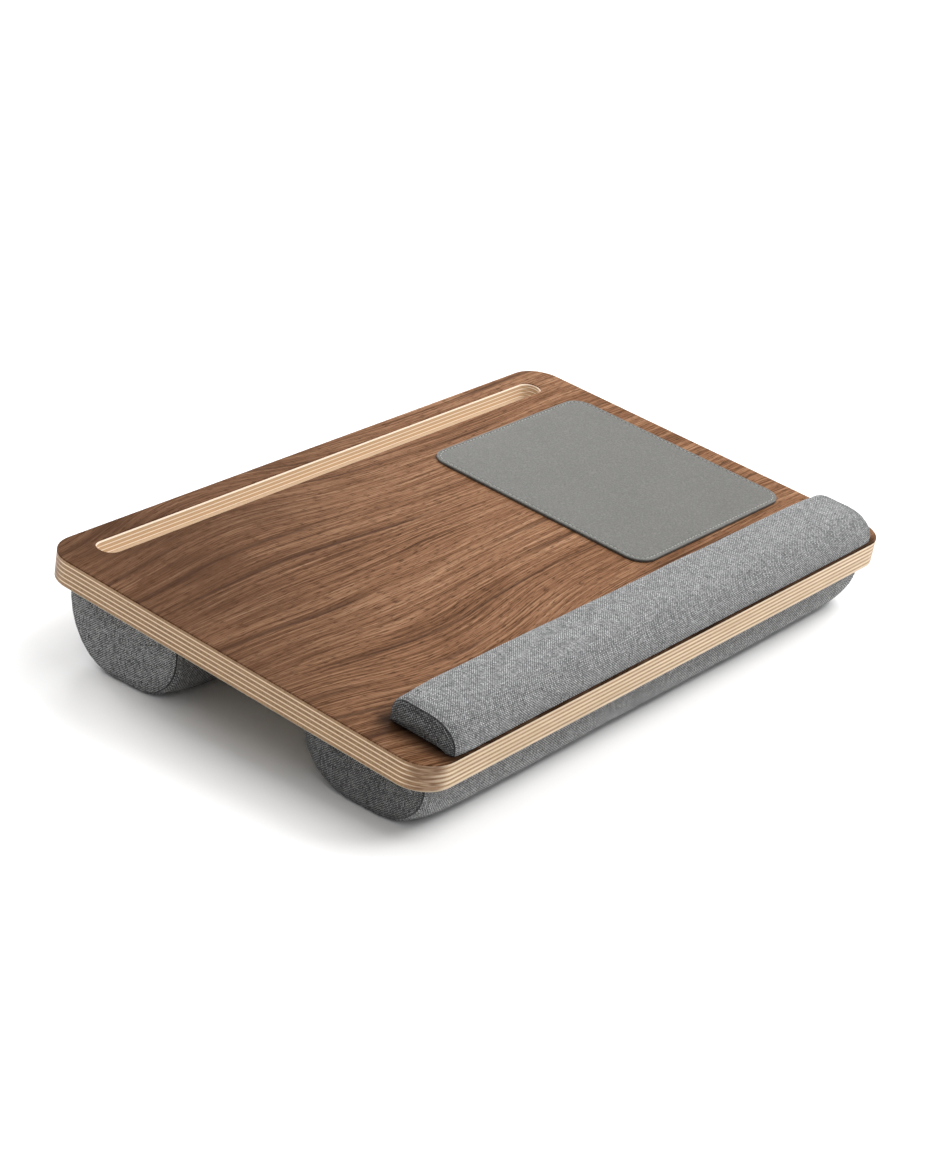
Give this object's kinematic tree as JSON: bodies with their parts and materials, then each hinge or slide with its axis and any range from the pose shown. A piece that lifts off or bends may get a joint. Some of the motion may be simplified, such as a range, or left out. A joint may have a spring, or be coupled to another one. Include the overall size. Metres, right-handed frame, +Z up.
{
  "type": "lap desk with device slot, mouse pad and wrist rest",
  "caption": "Walnut-faced plywood lap desk with a routed device slot, grey leather mouse pad, fabric wrist rest and two grey bolster cushions underneath.",
  "frame": {"origin": "on the floor, under the middle of the overall box", "axes": "+X along the long side to the user's right (the mouse pad's side), +Y from the user to the rear edge with the slot, +Z up"},
  "size_m": [0.49, 0.3104, 0.0761],
  "materials": {
    "walnut": "satin oiled walnut veneer",
    "birch_long_grain": "clear-coated birch, grain along the board",
    "birch_cross_grain": "clear-coated birch, grain across the board",
    "birch_back": "satin birch veneer",
    "pad_leather": "fine-grained matt leather, stitched rim",
    "pad_backing": "matt backing sheet",
    "grey_fabric": "heather-grey plain weave",
    "foam": "open-cell foam",
    "base_board": "thin fibreboard",
    "hook_tape": "woven nylon hook tape",
    "loop_tape": "brushed nylon loop tape"
  },
  "bodies": {
    "root": {"walnut_face_veneer": "walnut", "birch_ply_01": "birch_long_grain", "birch_ply_02": "birch_cross_grain", "birch_ply_03": "birch_long_grain", "birch_ply_04": "birch_cross_grain", "birch_ply_05": "birch_long_grain", "birch_ply_06": "birch_cross_grain", "birch_ply_07": "birch_long_grain", "birch_ply_08": "birch_cross_grain", "birch_ply_09": "birch_long_grain", "birch_ply_10": "birch_cross_grain", "birch_ply_11": "birch_long_grain", "birch_back_veneer": "birch_back", "mouse_pad_leather": "pad_leather", "mouse_pad_backing": "pad_backing", "wrist_rest_cover": "grey_fabric", "wrist_rest_end_left": "grey_fabric", "wrist_rest_end_right": "grey_fabric", "wrist_rest_foam": "foam", "wrist_rest_base": "base_board", "front_bolster_cover": "grey_fabric", "front_bolster_end_left": "grey_fabric", "front_bolster_end_right": "grey_fabric", "front_bolster_top_panel": "grey_fabric", "front_bolster_foam": "foam", "rear_bolster_cover": "grey_fabric", "rear_bolster_end_left": "grey_fabric", "rear_bolster_end_right": "grey_fabric", "rear_bolster_top_panel": "grey_fabric", "rear_bolster_foam": "foam", "front_hook_strips": "hook_tape", "front_loop_strips": "loop_tape", "rear_hook_strips": "hook_tape", "rear_loop_strips": "loop_tape"}
  },
  "joints": []
}
